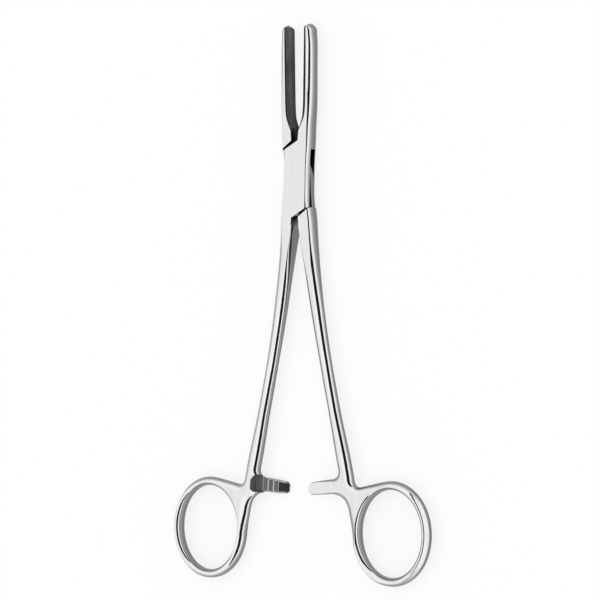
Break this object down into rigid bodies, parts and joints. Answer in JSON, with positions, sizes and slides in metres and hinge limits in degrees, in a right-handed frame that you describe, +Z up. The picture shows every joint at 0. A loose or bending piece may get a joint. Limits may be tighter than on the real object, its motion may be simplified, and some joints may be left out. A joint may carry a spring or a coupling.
{
  "type": "tube clamp forceps",
  "caption": "Polished steel tube clamp forceps: smooth tapered jaws, a box lock on a flush pin, slim handles, finger rings and a toothed ratchet between them.",
  "frame": {"origin": "on the axis of the pivot pin, in the plane that the forceps lie on", "axes": "+Y along the forceps from the pivot to the jaw tips, +X across the handles, +Z up from the resting plane along the pivot"},
  "size_m": [0.1006, 0.1807, 0.0056],
  "materials": {
    "box_half": "polished",
    "tongue_half": "polished",
    "pivot_pin": "ground"
  },
  "bodies": {
    "box_side": {"box_half": "box_half", "pivot_pin": "pivot_pin"},
    "tongue_side": {"tongue_half": "tongue_half"}
  },
  "joints": [
    {"name": "box_lock", "type": "hinge", "parent": "box_side", "child": "tongue_side", "pos_m": [0, 0, 0.0028], "axis": [0, 0, 1], "range_deg": [-8, 42]}
  ]
}
